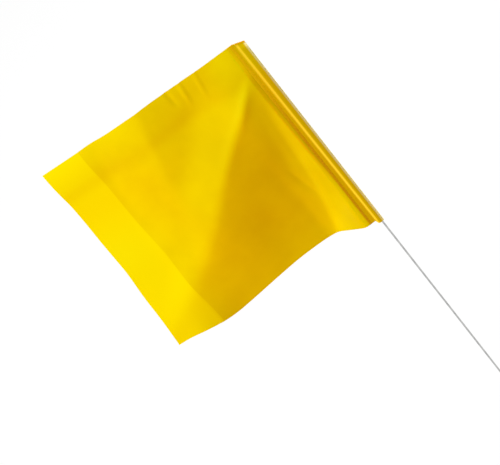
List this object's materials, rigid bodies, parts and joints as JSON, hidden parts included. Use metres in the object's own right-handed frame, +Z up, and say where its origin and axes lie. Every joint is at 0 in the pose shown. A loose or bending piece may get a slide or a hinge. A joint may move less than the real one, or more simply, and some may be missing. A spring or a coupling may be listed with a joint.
{
  "type": "marker flag",
  "caption": "Yellow plastic film flag with a welded hoist sleeve that turns freely on a straight steel wire staff pushed into the ground.",
  "frame": {"origin": "centre of the wire's square-cut lower tip, on the staff's axis", "axes": "+Z up along the staff towards the flag; the flag flies towards -X and its fly edge leans back towards +Y"},
  "size_m": [0.2086, 0.059, 0.7723],
  "materials": {
    "galvanised_wire": "drawn galvanised steel wire, dull grey, cut square",
    "yellow_film": "thin soft yellow film, semi-gloss, slightly translucent, creased from packing",
    "welded_film": "the same film melted together in a line, darker and glossier"
  },
  "bodies": {
    "staff": {"staff_wire": "galvanised_wire"},
    "flag": {"flag_panel": "yellow_film", "hoist_sleeve": "yellow_film", "hem_edge": "yellow_film", "seam_weld": "welded_film", "tip_weld": "welded_film"}
  },
  "joints": [
    {"name": "flag_turn", "type": "hinge", "parent": "staff", "child": "flag", "pos_m": [0, 0, 0.5636], "axis": [0, 0, 1], "continuous": true}
  ]
}
